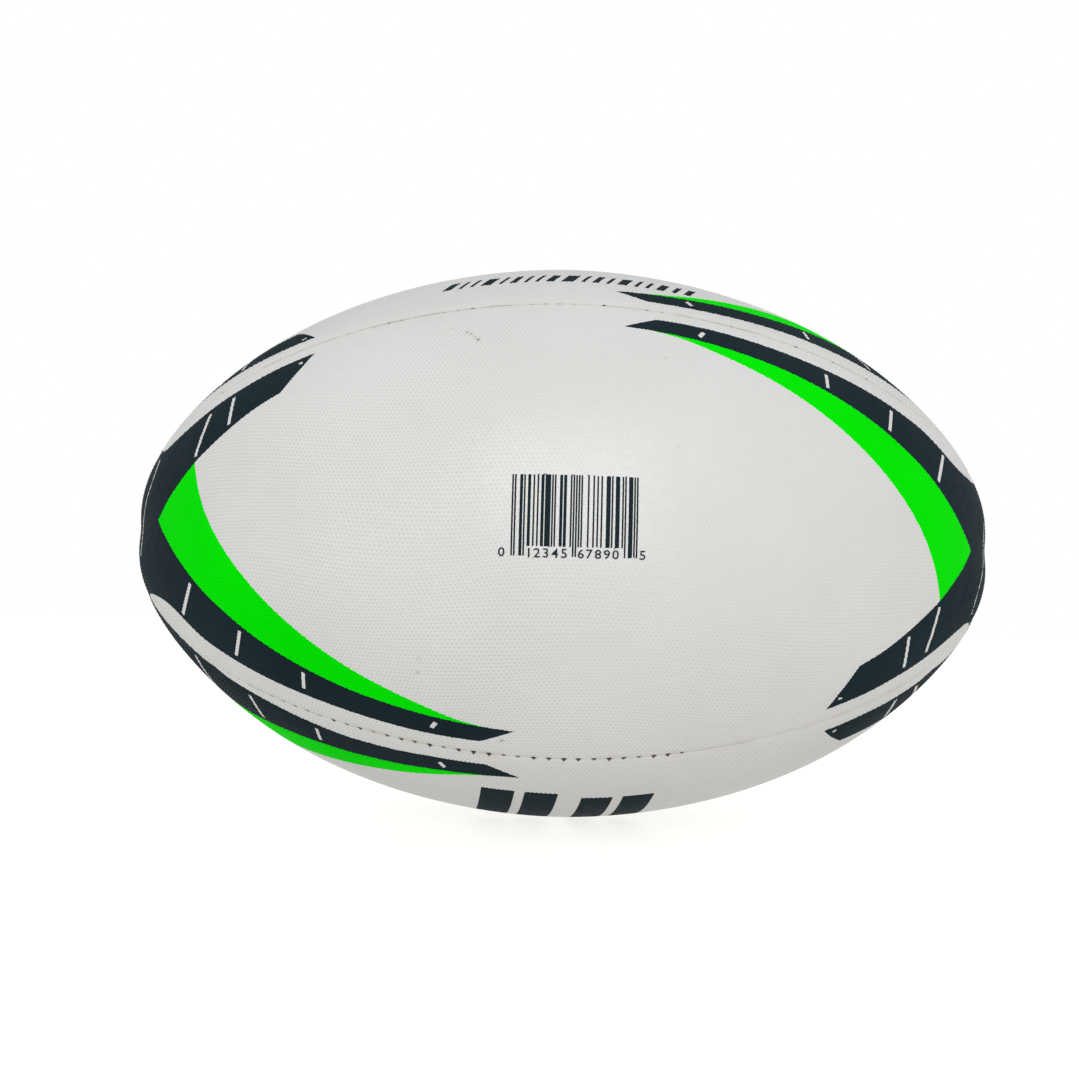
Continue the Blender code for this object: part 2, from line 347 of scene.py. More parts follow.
# Unprinted strokes that cross the black, as (start, end, width in mm).
STROKES = (
    ((-112.3, -19.6), (-116.5, -32.0), 1.05),
    ((-94.5, -28.1), (-96.9, -36.0), 1.05),
    ((-74.6, -33.6), (-75.0, -38.0), 1.05),
    ((-36.0, -38.6), (-37.4, -40.1), 1.25),
    ((-110.1, 35.6), (-113.0, 21.4), 1.05),
    ((-102.1, 37.0), (-101.6, 27.1), 1.05),
    ((-81.3, 39.1), (-80.0, 38.8), 0.8),
)

# A hair line left unprinted round the tip, from the short arm's foot.
TIP_LINE = (
    (-131.4, 36.2), (-132.6, 30.5), (-134.5, 25.6), (-136.6, 21.3), (-138.1, 15.8),
    (-139.0, 9.5), (-139.3, 2.0), (-139.4, -12.0), (-139.7, -25.0),
)
TIP_LINE_WIDTH = 0.42        # in mm


def stroke_polygon(start, end, width):
    """Corners, in mm and degrees, of a straight stroke."""
    (x0, a0), (x1, a1) = start, end
    scale = float(seam_radius(np.array(0.5 * (x0 + x1) * MM))) / MM * math.pi / 180
    dx, dy = x1 - x0, (a1 - a0) * scale
    size = math.hypot(dx, dy)
    px, py = -dy / size * width / 2, dx / size * width / 2 / scale
    return [(x0 + px, a0 + py), (x0 - px, a0 - py), (x1 - px, a1 - py), (x1 + px, a1 + py)]


def turned(polygon):
    """The same polygon at the other end of the panel."""
    return [(-x, -a) for x, a in polygon]


def laid_on(side, polygon):
    """A polygon of the print, where it lies on a panel."""
    laid = []
    for x, a in polygon:
        end = -1.0 if x > 0 else 1.0
        a *= float(spread(side, np.array(x * end * MM), np.array(a * end)))
        laid.append((x + PRINT_SHIFT[side], -a if side in MIRRORED else a))
    return laid


def box_of(polygon, spare=0.02):
    """Limits of a polygon, in metres and radians."""
    xs = [p[0] for p in polygon]
    angles = [p[1] for p in polygon]
    return (
        (min(xs) - spare) * MM,
        (max(xs) + spare) * MM,
        math.radians(min(angles) - spare),
        math.radians(max(angles) + spare),
    )


def edge_lines(polygon):
    """Signed lines of a convex polygon's edges, all positive inside."""
    points = [(x * MM, math.radians(a)) for x, a in polygon]
    cx = sum(p[0] for p in points) / len(points)
    ca = sum(p[1] for p in points) / len(points)
    lines = []
    for (x0, a0), (x1, a1) in zip(points, points[1:] + points[:1]):
        nx, na = -(a1 - a0), x1 - x0
        sign = 1.0 if nx * (cx - x0) + na * (ca - a0) > 0 else -1.0
        lines.append((nx * sign, na * sign, x0, a0))
    return lines


def inside(polygon, x, angle):
    """Which places lie inside a convex polygon."""
    result = np.ones(len(x), bool)
    for nx, na, x0, a0 in edge_lines(polygon):
        result &= nx * (x - x0) + na * (angle - a0) > 0
    return result


def cut_polygon(sheet, polygon):
    """Make a polygon's outline part of the sheet's edges."""
    box = box_of(polygon)
    for nx, na, x0, a0 in edge_lines(polygon):
        sheet.cut(lambda x, a: nx * (x - x0) + na * (a - a0), box)


# Retail code of the placeholder number 0 12345 67890 5.
CODE_DIGITS = "012345678905"
CODE_WIDTHS = ("3211", "2221", "2122", "1411", "1132", "1231", "1114", "1312", "1213", "3112")
CODE_START_X = -15.8         # in mm
CODE_MODULE = 0.3495         # width of the thinnest bar, in mm
CODE_SPREAD = 0.055          # ink creeps this far beyond each bar, in mm
CODE_TOP = 7.3               # in degrees, as the two feet
CODE_FOOT = -4.5
CODE_GUARD_FOOT = -6.1


def code_bars():
    """Bars as (left, right, foot) in mm and degrees."""
    bars = []
    at = 0

    def put(widths, ink_first, foot):
        nonlocal at
        ink = ink_first
        for width in widths:
            if ink:
                left = CODE_START_X + at * CODE_MODULE
                bars.append((left - CODE_SPREAD, left + width * CODE_MODULE + CODE_SPREAD, foot))
            at += width
            ink = not ink

    put((1, 1, 1), True, CODE_GUARD_FOOT)
    for place, digit in enumerate(CODE_DIGITS[:6]):
        widths = [int(w) for w in CODE_WIDTHS[int(digit)]]
        put(widths, False, CODE_GUARD_FOOT if place == 0 else CODE_FOOT)
    put((1, 1, 1, 1, 1), False, CODE_GUARD_FOOT)
    for place, digit in enumerate(CODE_DIGITS[6:]):
        widths = [int(w) for w in CODE_WIDTHS[int(digit)]]
        put(widths, True, CODE_GUARD_FOOT if place == 5 else CODE_FOOT)
    put((1, 1, 1), True, CODE_GUARD_FOOT)
    return bars


def bar_polygons():
    """Corners of the code's bars, in mm and degrees."""
    return [
        [(left, CODE_TOP), (right, CODE_TOP), (right, foot), (left, foot)]
        for left, right, foot in code_bars()
    ]


def block_row(start, pitch, widths, low, high, lean):
    """A row of leaning plain bars that spells nothing."""
    row = []
    x = start
    for width in widths:
        row.append([(x, low), (x + width, low), (x + width + lean, high), (x + lean, high)])
        x += width + pitch
    return row


# ---------------------------------------------------------------- panels
GROUND, BLACK, GREEN, SHADE = 0, 1, 2, 3    # places of the panels' materials
VALVE_BOSS = 7.5 * MM        # radius of the smooth ring round the valve
VALVE_CALM = 8.0 * MM        # no pimples within this radius


def pebble_sheet(side):
    """Triangle lattice whose every third corner is a pimple's top."""
    column_step = PIMPLE_PITCH / 2
    row_step = PIMPLE_PITCH / math.sqrt(3)
    reach = ARC_RUN[-1]
    columns = int(reach / column_step) + 1
    rows = int(SEAM_RADIUS * PANEL_REACH / row_step) + 1
    i, k = np.meshgrid(np.arange(-columns, columns + 1), np.arange(-rows, rows + 1), indexing="ij")
    u = i * column_step
    v = row_step * (k + 0.5 * (i % 2))
    rng = np.random.default_rng(SIDES.index(side) + 3)
    bend_u = 1.5 * np.sin(v / (15 * MM) + 0.4) + 0.7 * np.sin((u + v) / (9 * MM))
    bend_u = bend_u + rng.normal(0, GRAIN_SCATTER, u.shape)
    bend_v = 1.5 * np.sin(u / (18 * MM) + 1.1) + 0.6 * np.sin((u - 2 * v) / (14 * MM))
    bend_v = bend_v + rng.normal(0, GRAIN_SCATTER, u.shape)
    u, v = u + bend_u * MM, v + bend_v * MM
    x = x_at_run(np.clip(u, ARC_RUN[0], ARC_RUN[-1]))
    angle = np.clip(v / np.maximum(seam_radius(x), 0.2 * MM), -1.0, 1.0)
    peak = np.where(i % 2 == 0, k % 3 == 0, k % 3 == 1)
    index = np.arange(i.size).reshape(i.shape)
    lo, hi = index[:-1], index[1:]
    odd = i[:-1, :-1] % 2 == 1
    a, b, c, d = lo[:, :-1], lo[:, 1:], hi[:, :-1], hi[:, 1:]
    one = np.where(odd[..., None], np.stack([a, c, d], -1), np.stack([a, c, b], -1))
    two = np.where(odd[..., None], np.stack([a, d, b], -1), np.stack([c, d, b], -1))
    faces = np.concatenate([one.reshape(-1, 3), two.reshape(-1, 3)])
    flat = np.stack([x.ravel(), angle.ravel()], 1)
    inset = seam_distance(flat[:, 0], flat[:, 1])
    start, full = GRAIN_EDGE[side]
    fade = np.clip((inset / MM - start) / (full - start), 0.0, 1.0)
    if side == "back":
        from_valve = np.hypot(flat[:, 0], SEAM_RADIUS * flat[:, 1])
        fade *= np.clip((from_valve - VALVE_CALM) / (1.5 * MM), 0.0, 1.0)
    shallow = np.where(i % 2 == 0, k % 3 == 1, k % 3 == 2)
    lift = (peak + HOLLOW_LIFT * shallow).ravel() * fade
    # Painted shade: hollows get a darker tone than the pimples' tops, and the smooth edges a middle tone.
    painted_shade_tone = np.maximum((peak + SHALLOW_HOLLOW_SHADE * shallow).ravel() * fade, 0.5 * (1.0 - fade))
    keep = inset[faces].max(1) > 0.05 * MM
    faces = faces[keep]
    used, faces = np.unique(faces, return_inverse=True)
    flat, lift, painted_shade_tone = flat[used], lift[used], painted_shade_tone[used]
    outward = normal(flat[:, 0], flat[:, 1])
    place = surface(flat[:, 0], flat[:, 1]) + outward * (lift * PIMPLE_HEIGHT)[:, None]
    return Sheet(flat, place, painted_shade_tone, faces.reshape(-1, 3))


def trim_to_band(sheet, side):
    """Cut the pebbled sheet back to where the smooth edges start."""
    everywhere = (-1.0, 1.0, -2.0, 2.0)
    band = BAND[side] * MM
    for sign in (1.0, -1.0):
        sheet.cut(lambda x, a: radius(x, a) * np.sin(QUARTER - sign * a) - band * narrowing(x), everywhere)
    sheet.drop(lambda x, a: seam_distance(x, a) < band * narrowing(x))


def trim_for_valve(sheet):
    """Cut the round hole that the smooth ring fills."""
    reach = VALVE_BOSS * 1.3
    box = (-reach, reach, -reach / SEAM_RADIUS, reach / SEAM_RADIUS)
    sheet.cut(lambda x, a: np.hypot(x, SEAM_RADIUS * a) - VALVE_BOSS, box)
    sheet.drop(lambda x, a: np.hypot(x, SEAM_RADIUS * a) < VALVE_BOSS)


def in_print(side, x, angle, end=None):
    """Panel places as places in the print at its -x end."""
    x = x - PRINT_SHIFT[side] * MM
    end = np.where(x > 0, -1.0, 1.0) if end is None else end
    x, angle = x * end, angle * end * (-1.0 if side in MIRRORED else 1.0)
    return x, angle / spread(side, x, angle)


def cut_swoosh(sheet, side):
    """Make the print's outlines part of the sheet's edges."""
    shift = PRINT_SHIFT[side] * MM
    for line, start, end in PRINT_LINES:
        for sign in (1.0, -1.0):
            low, high = sorted((start * MM * sign + shift, end * MM * sign + shift))

            def level(x, angle):
                x, angle = in_print(side, x, angle, sign)
                return angle - line(x)

            sheet.cut(level, (low, high, -2.0, 2.0))


def swoosh_colour(side, x, angle):
    """Which material the print gives to places on a panel."""
    x, angle = in_print(side, x, angle)
    beyond = x < GREEN_APEX[0] * MM
    body = beyond & (angle < EDGE_SHORT(x)) & (angle > long_outer(x))
    body |= x < BODY_END * MM
    upper = ~beyond & (x < SHORT_TIP[0] * MM) & (angle < EDGE_SHORT(x)) & (angle > short_inner(x))
    lower = ~beyond & (x < LONG_TIP[0] * MM) & (angle < EDGE_GREEN(x)) & (angle > long_outer(x))
    top = np.where(x < GREEN_TOP[0] * MM, EDGE_INNER(x), EDGE_HOLLOW(x))
    green = ~beyond & (x < GREEN_END * MM) & (angle > EDGE_GREEN(x)) & (angle < top)
    return np.where(green, GREEN, np.where(body | upper | lower, BLACK, GROUND))


def mesh_object(name, place, faces, colour, materials, values, side="front"):
    """An object from triangles and their material places, turned to its side."""
    turn = np.array(side_turn(side))
    used, faces = np.unique(faces, return_inverse=True)
    faces = faces.reshape(-1, 3)
    mesh = bpy.data.meshes.new(name)
    mesh.vertices.add(len(used))
    mesh.vertices.foreach_set("co", (place[used] @ turn.T).astype(np.float32).ravel())
    mesh.loops.add(3 * len(faces))
    mesh.loops.foreach_set("vertex_index", faces.astype(np.int32).ravel())
    mesh.polygons.add(len(faces))
    mesh.polygons.foreach_set("loop_start", np.arange(0, 3 * len(faces), 3, dtype=np.int32))
    mesh.polygons.foreach_set("material_index", np.asarray(colour, np.int32))
    mesh.update(calc_edges=True)
    mesh.shade_smooth()
    for label, data in values.items():
        layer = mesh.attributes.new(label, "FLOAT", "POINT")
        layer.data.foreach_set("value", np.asarray(data[used], np.float32))
    for material in materials:
        mesh.materials.append(material)
    item = bpy.data.objects.new(name, mesh)
    bpy.context.scene.collection.objects.link(item)
    return item


# Widths of the plain bars on the top panel, in mm.
TOP_BARS = (
    2.6, 1.2, 1.2, 3.4, 1.2, 2.0, 1.2, 1.2, 2.6, 3.8,
    1.2, 2.0, 1.2, 3.0, 1.2, 1.2, 2.6, 1.6, 2.2,
)


def marks_for(side):
    """Plain printed bars of a panel, as convex polygons in its own places."""
    if side == "front":
        return bar_polygons()
    if side == "top":
        return block_row(-40.5, 2.2, TOP_BARS, -34.6, -29.9, 2.6)
    if side == "bottom":
        left = block_row(-28.0, 3.0, (10.0, 10.0), 8.0, 33.0, 4.0)
        return left + block_row(2.0, 3.0, (9.5, 9.5), 6.0, 31.0, 4.0)
    return []


def uneven(run):
    """A smooth uneven value from 0 to 1 along a seam."""
    wave = sum(np.sin(run / (length * MM) + length) for length in (1.7, 2.9, 5.3, 11.0, 23.0))
    return np.clip(0.5 + 0.22 * wave, 0.0, 1.0)


def seam_stain_and_shade(seam, x, inset):
    """Glue beside a seam and painted shade on its line in the crease, patchy along it."""
    glue, line = GLUE_AND_CREASE_SHADE[seam]
    patchy = uneven(np.interp(x, ARC_X, ARC_RUN))
    beside = np.exp(-((inset / GLUE_REACH) ** 2))
    on_line_shade = np.exp(-((inset / CREASE_SHADE_REACH) ** 2))
    return glue * patchy * beside + line * (0.4 + 0.6 * patchy) * on_line_shade


# Small scuffs on the front panel, as (x in mm, degrees, radius in mm, depth).
SCUFFS = (
    (-35.4, 38.6, 0.5, 0.7), (-30.7, 37.1, 0.55, 1.0), (-29.3, 36.4, 0.5, 1.0),
    (-28.2, 35.6, 0.5, 1.0), (-27.1, 34.7, 0.6, 1.2), (-40.0, -25.2, 0.6, 0.7),
    (-40.6, -28.0, 0.6, 0.8), (-17.5, -41.0, 0.6, 1.1), (25.5, 31.4, 0.5, 0.6),
    (28.2, 13.2, 0.5, 0.45),
)


def scuffed(x, angle):
    """How dark the scuffs are at places on the front panel."""
    value = np.zeros(len(x))
    for middle, place, size, depth in SCUFFS:
        away = np.hypot(x - middle * MM, SEAM_RADIUS * (angle - math.radians(place)))
        value = np.maximum(value, depth * np.exp(-((away / (size * MM)) ** 2)))
    return value


def make_panel(side, materials):
    """The pebbled, printed outside of one panel."""
    sheet = pebble_sheet(side)
    trim_to_band(sheet, side)
    if side == "back":
        trim_for_valve(sheet)
    cut_swoosh(sheet, side)
    strokes = []
    hair = [(start, end, TIP_LINE_WIDTH) for start, end in zip(TIP_LINE, TIP_LINE[1:])]
    for start, end, width in (*STROKES, *hair):
        polygon = stroke_polygon(start, end, width)
        strokes += [laid_on(side, polygon), laid_on(side, turned(polygon))]
    marks = marks_for(side)
    for polygon in strokes + marks:
        cut_polygon(sheet, polygon)
    middle = sheet.flat[sheet.faces].mean(1)
    x, angle = middle[:, 0], middle[:, 1]
    colour = swoosh_colour(side, x, angle)
    for polygon in strokes:
        colour[inside(polygon, x, angle)] = GROUND
    for polygon in marks:
        colour[inside(polygon, x, angle)] = BLACK
    vx, va = sheet.flat.T
    seams = (SEAM_OF[(side, 1)], SEAM_OF[(side, -1)])
    upper, lower = (seam_stain_and_shade(seam, vx, seam_distance(vx, va)) for seam in seams)
    stain_and_shade = np.where(va > 0, upper, lower)
    if side == "front":
        stain_and_shade = np.maximum(stain_and_shade, scuffed(vx, va))
    # The first value is the painted pimple shade tone; the second holds glue, scuffs and painted crease
    # shade.
    values = {"peak": sheet.value, "stain_and_shade": stain_and_shade}
    item = mesh_object("skin_" + side, sheet.place, sheet.faces, colour, materials, values, side)
    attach(item, "root")
    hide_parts("panel_" + side)


# ---------------------------------------------------------------- seam edges
# Stations round each stitch, in mm. A hole reaches 1 mm to either side.
STITCH_PLACES = (
    -1.6, -1.25, -1.0, -0.75, -0.5, -0.3, -0.12, 0.0, 0.12, 0.3, 0.5, 0.75, 1.0, 1.25, 1.6,
)
# How far a full hole eats into a panel, in mm, by panel and seam.
HOLE_SHARE = {
    ("front", 1): 0.5, ("front", -1): 0.42, ("top", -1): 0.5, ("top", 1): 0.3,
    ("back", 1): 0.3, ("back", -1): 0.3, ("bottom", -1): 0.3, ("bottom", 1): 1.3,
}
# How round the fold is between stitches, against 1 at a stitch.
CREASE = {"front_top": 0.75, "top_back": 0.6, "back_bottom": 0.6, "bottom_front": 0.25}
# How hard the stitches pull.
STRENGTH = {"front_top": 0.35, "top_back": 0.8, "back_bottom": 0.35, "bottom_front": 1.0}
# Where the bottom seam's holes show, as x in mm and size.
BOTTOM_HOLES = ((-110, -85, -60, -45, 32, 38, 50), (0.3, 0.6, 0.85, 1, 1, 0.3, 0))
# Glue beside each seam, and painted shade darkening its line in the crease.
GLUE_AND_CREASE_SHADE = {
    "front_top": (0.15, 1.0), "top_back": (0.3, 0.4),
    "back_bottom": (0.2, 0.4), "bottom_front": (0.42, 0.06),
}
GLUE_REACH = 1.3 * MM
CREASE_SHADE_REACH = 0.3 * MM
INKED_ROWS = 5               # of the rows down into the seam
FILLET_STEPS = 6
EDGE_LAP = 0.10              # the smooth edge laps this far under the skin, in mm
EDGE_SINK = 0.03 * MM        # and this deep
FOLD_START = 0.05            # the fold starts this far inside the smooth edge, in mm
WALL_DEPTHS = (0.9, 2.2)     # rows of the wall below the fold, in mm
SEAM_END = 0.4 * MM          # seam edges stop this far from the tip
LAST_STITCH = 3 * MM         # and stitches this far


def stitch_runs():
    """Where the stitches are along a seam."""
    count = int((ARC_RUN[-1] - LAST_STITCH) / STITCH_PITCH)
    return np.arange(-count, count + 1) * STITCH_PITCH


def seam_stations(seam):
    """Runs along a seam and how far its stitches hold it open there."""
    rng = np.random.default_rng(sorted(STRENGTH).index(seam) + 11)
    runs, opens = [], []
    for middle in stitch_runs():
        middle = middle + rng.normal(0.0, STITCH_SCATTER)
        size = STRENGTH[seam] * rng.uniform(0.6, 1.15)
        if STRENGTH[seam] < 0.5:
            size *= rng.choice([1.0, 1.8, 2.8], p=[0.4, 0.35, 0.25])
        if seam == "bottom_front":
            size *= float(np.interp(x_at_run(middle) / MM, *BOTTOM_HOLES))
        for place in STITCH_PLACES:
            runs.append(middle + place * MM)
            opens.append(size * max(0.0, 1.0 - abs(place)) ** 0.8)
    ends = ARC_RUN[-1] - SEAM_END
    runs = np.array([-ends] + runs + [ends])
    opens = np.array([0.0] + opens + [0.0])
    return runs, opens


def strip_triangles(a, b, c, d):
    """Triangles of a grid from its cells' corners, a to d in reading order."""
    quads = np.stack([a, b, d, c], -1)
    return np.concatenate([quads[..., [0, 1, 2]].reshape(-1, 3), quads[..., [0, 2, 3]].reshape(-1, 3)])


def make_edge(side, sign):
    """The smooth turned-in edge of a panel, down into the seam."""
    seam = SEAM_OF[(side, sign)]
    runs, opens = seam_stations(seam)
    x = x_at_run(runs)
    narrow = narrowing(x)
    half_gap = (SLOT[seam] + opens * HOLE_SHARE[(side, sign)]) * MM * narrow
    sink = CREASE[seam] + (1.0 - CREASE[seam]) * np.minimum(opens, 1.0)
    band = BAND[side] * MM * narrow
    profile = [(band + EDGE_LAP * MM * narrow, np.full_like(x, EDGE_SINK))]
    fillet = band - FOLD_START * MM * narrow - half_gap
    for step in range(FILLET_STEPS + 1):
        turn = 0.5 * math.pi * step / FILLET_STEPS
        inset = half_gap + fillet * (1 - math.sin(turn))
        profile.append((inset, sink * fillet * (1 - math.cos(turn))))
    for depth in WALL_DEPTHS:
        profile.append((half_gap, fillet + depth * MM))
    nx, nr = outline_normal(x)
    rings, angles = [], []
    for inset, depth in profile:
        angle = np.full_like(x, QUARTER)
        for _ in range(12):
            r = radius(x, angle)
            angle = QUARTER - np.arcsin(np.clip(inset / np.maximum(r, 0.05 * MM), 0.0, 0.7))
        r = radius(x, angle) - depth * nr
        point = np.stack([x - depth * nx, -r * np.cos(angle), r * np.sin(angle)], -1)
        point[:, 2] *= sign
        rings.append(point)
        angles.append(sign * angle)
    grid = np.stack(rings)
    # Painted shade: the colour darkens down the fold towards the slot, on top of the glue beside it.
    stain_and_shade = np.stack([seam_stain_and_shade(seam, x, inset) for inset, depth in profile])
    rows, count = grid.shape[:2]
    index = np.arange(rows * count).reshape(rows, count)
    tris = strip_triangles(index[:-1, :-1], index[:-1, 1:], index[1:, :-1], index[1:, 1:])
    middle_x = np.tile(0.5 * (x[:-1] + x[1:]), rows - 1)
    middle_angle = np.concatenate([0.5 * (row[:-1] + row[1:]) for row in angles[:-1]])
    row_of = np.repeat(np.arange(rows - 1), count - 1)
    printed = np.where(row_of < INKED_ROWS, swoosh_colour(side, middle_x, middle_angle), GROUND)
    # The wall rows below the fold get the seam's glue colour, which also paints the shade down there.
    colour = np.tile(np.where(row_of > FILLET_STEPS, SHADE, printed), 2)
    if sign < 0:
        tris = tris[:, ::-1]
    return grid.reshape(-1, 3), tris[:, ::-1], colour, stain_and_shade.ravel()


# The ring's section, as radius and depth in mm.
BOSS_PROFILE = (
    (7.55, 0.05), (7.3, -0.10), (6.9, -0.22), (6.3, -0.26), (5.6, -0.25), (5.1, -0.2),
    (4.75, -0.05), (4.5, 0.2), (4.4, 0.55), (4.4, 1.4), (4.4, 3.4),
)


def valve_boss_mesh():
    """Smooth ring round the valve hole, with a rounded lip."""
    steps = 96
    turn = np.linspace(0, 2 * math.pi, steps, endpoint=False)
    rings = []
    for r, depth in BOSS_PROFILE:
        x = r * MM * np.cos(turn)
        angle = r * MM * np.sin(turn) / SEAM_RADIUS
        rings.append(surface(x, angle) - normal(x, angle) * depth * MM)
    grid = np.stack(rings)
    index = np.arange(grid.shape[0] * steps).reshape(grid.shape[0], steps)
    after = np.roll(index, -1, 1)
    tris = strip_triangles(index[:-1], after[:-1], index[1:], after[1:])
    return grid.reshape(-1, 3), tris, np.zeros(len(tris), int), np.zeros(grid.shape[0] * steps)


def make_edges(side, materials):
    """Both turned-in edges of a panel, and the back panel's valve ring."""
    parts = [make_edge(side, 1), make_edge(side, -1)]
    if side == "back":
        parts.append(valve_boss_mesh())
    places, faces, colours, stains_and_shade = [], [], [], []
    start = 0
    for place, tris, colour, stain_and_shade in parts:
        places.append(place)
        faces.append(tris + start)
        colours.append(colour)
        stains_and_shade.append(stain_and_shade)
        start += len(place)
    place = np.concatenate(places)
    values = {"peak": np.full(len(place), 0.5), "stain_and_shade": np.concatenate(stains_and_shade)}
    tris, colour = np.concatenate(faces), np.concatenate(colours)
    item = mesh_object("edges_" + side, place, tris, colour, materials, values, side)
    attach(item, "root")


# ---------------------------------------------------------------- materials
def new_material(name):
    """A material, its node tree and its shader."""
    material = bpy.data.materials.new(name)
    material.use_nodes = True
    tree = material.node_tree
    return material, tree, tree.nodes["Principled BSDF"]


def node(tree, kind, **settings):
    """A new node, with socket values or plain settings by name."""
    made = tree.nodes.new(kind)
    for key, value in settings.items():
        if key in made.inputs:
            made.inputs[key].default_value = value
        else:
            setattr(made, key, value)
    return made


def object_noise(tree, scale, detail=3.0):
    """Noise in the object's own space."""
    place = node(tree, "ShaderNodeTexCoord")
    noise = node(tree, "ShaderNodeTexNoise", Scale=scale, Detail=detail, Roughness=0.55)
    tree.links.new(place.outputs["Object"], noise.inputs["Vector"])
    return noise.outputs["Fac"]


def ramp(tree, source, stops):
    """Colours at stops along a value."""
    made = node(tree, "ShaderNodeValToRGB")
    points = made.color_ramp.elements
    while len(points) < len(stops):
        points.new(0.5)
    for point, (at, colour) in zip(points, stops):
        point.position = at
        point.color = (*colour, 1.0)
    tree.links.new(source, made.inputs["Fac"])
    return made.outputs["Color"]


def mix(tree, kind, factor, first, second):
    """Two colours mixed, each a socket or a plain colour."""
    made = node(tree, "ShaderNodeMix", data_type="RGBA", blend_type=kind)
    if isinstance(factor, float):
        made.inputs[0].default_value = factor
    else:
        tree.links.new(factor, made.inputs[0])
    for socket, value in ((made.inputs[6], first), (made.inputs[7], second)):
        if isinstance(value, tuple):
            socket.default_value = (*value, 1.0)
        else:
            tree.links.new(value, socket)
    return made.outputs[2]


def bump(tree, shader, height, strength, distance):
    """Fine relief on a shader."""
    made = node(tree, "ShaderNodeBump", Strength=strength, Distance=distance)
    tree.links.new(height, made.inputs["Height"])
    tree.links.new(made.outputs["Normal"], shader.inputs["Normal"])


def painted_light_slope(tree):
    """Uneven value that grows towards +x and the top, where the painted pimple shading turns from dark
    hollows to bright tops, as if lit from above.
    """
    noise = object_noise(tree, 14.0, 2.0)
    place = node(tree, "ShaderNodeTexCoord")
    slope = node(tree, "ShaderNodeVectorMath", operation="DOT_PRODUCT")
    tree.links.new(place.outputs["Object"], slope.inputs[0])
    slope.inputs[1].default_value = (1.1, 0.0, 2.6)
    total = node(tree, "ShaderNodeMath", operation="ADD")
    tree.links.new(noise, total.inputs[0])
    tree.links.new(slope.outputs["Value"], total.inputs[1])
    return total.outputs[0]


RUBBED_PLACE = (0.038, -0.092, 0.016)    # where the front panel is rubbed smooth


def rubbed(tree):
    """How smooth the rubber is rubbed round one place, from 0 to 1."""
    place = node(tree, "ShaderNodeTexCoord")
    away = node(tree, "ShaderNodeVectorMath", operation="DISTANCE")
    tree.links.new(place.outputs["Object"], away.inputs[0])
    away.inputs[1].default_value = RUBBED_PLACE
    return ramp(tree, away.outputs["Value"], [(0.03, (0.62,) * 3), (0.085, (0.0,) * 3)])


def grained(name, low, high, hollow_shade, between_shade, roughness, specular, stains_and_painted_light=False):
    """Rubber or ink with painted shade in the hollows between its pimples; on the white rubber also painted
    highlights on their tops.
    """
    material, tree, shader = new_material(name)
    broad = ramp(tree, object_noise(tree, 22.0, 4.0), [(0.3, low), (0.7, high)])
    peak = node(tree, "ShaderNodeAttribute", attribute_name="peak").outputs["Fac"]
    # Painted shade: the colour is darkened in the hollows between the pimples.
    painted_relief = ramp(tree, peak, [(0.04, (hollow_shade,) * 3), (0.34, (between_shade,) * 3), (0.9, (1.0,) * 3)])
    if stains_and_painted_light:
        # Painted light: high up and towards +x the pimples get painted highlights on their tops over faint
        # hollows; low down the hollows keep their dark painted shade.
        painted_top_light = ramp(tree, peak, [(0.0, (0.89,) * 3), (0.62, (0.92,) * 3), (0.95, (1.06,) * 3)])
        hollow_shade_share = ramp(tree, painted_light_slope(tree), [(0.25, (1.0,) * 3), (0.75, (0.12,) * 3)])
        painted_relief = mix(tree, "MIX", hollow_shade_share, painted_top_light, painted_relief)
        painted_relief = mix(tree, "MIX", rubbed(tree), painted_relief, (0.945, 0.945, 0.945))
    colour = mix(tree, "MULTIPLY", 1.0, broad, painted_relief)
    if stains_and_painted_light:
        specks = ramp(tree, object_noise(tree, 700.0, 1.0), [(0.80, (0.0,) * 3), (0.84, (1.0,) * 3)])
        colour = mix(tree, "MIX", specks, colour, (0.40, 0.375, 0.33))
        # Glue, scuffs and the painted shade along the seam lines darken the colour.
        stain_and_shade = node(tree, "ShaderNodeAttribute", attribute_name="stain_and_shade").outputs["Fac"]
        share = ramp(tree, stain_and_shade, [(0.0, (0.0,) * 3), (0.5, (0.55,) * 3), (1.0, (0.95,) * 3)])
        stain_and_shade_colour = ramp(tree, stain_and_shade, [(0.35, (0.36, 0.325, 0.265)), (0.85, (0.085, 0.078, 0.062))])
        colour = mix(tree, "MIX", share, colour, stain_and_shade_colour)
    tree.links.new(colour, shader.inputs["Base Color"])
    smoother, rougher = roughness - 0.05, roughness + 0.05
    rough = ramp(tree, object_noise(tree, 300.0), [(0.3, (smoother,) * 3), (0.7, (rougher,) * 3)])
    tree.links.new(rough, shader.inputs["Roughness"])
    shader.inputs["Specular IOR Level"].default_value = specular
    bump(tree, shader, object_noise(tree, 2600.0, 2.0), 0.12, 0.0001)
    return material


def shade_material():
    """Glue, thread ends and dust down inside a seam, in a dark brown that also paints the shade there."""
    material, tree, shader = new_material("seam_glue_and_shade")
    stops = [(0.35, (0.10, 0.082, 0.048)), (0.65, (0.21, 0.17, 0.105))]
    colour = ramp(tree, object_noise(tree, 420.0, 4.0), stops)
    tree.links.new(colour, shader.inputs["Base Color"])
    shader.inputs["Roughness"].default_value = 0.85
    bump(tree, shader, object_noise(tree, 3000.0, 3.0), 0.5, 0.0001)
    return material


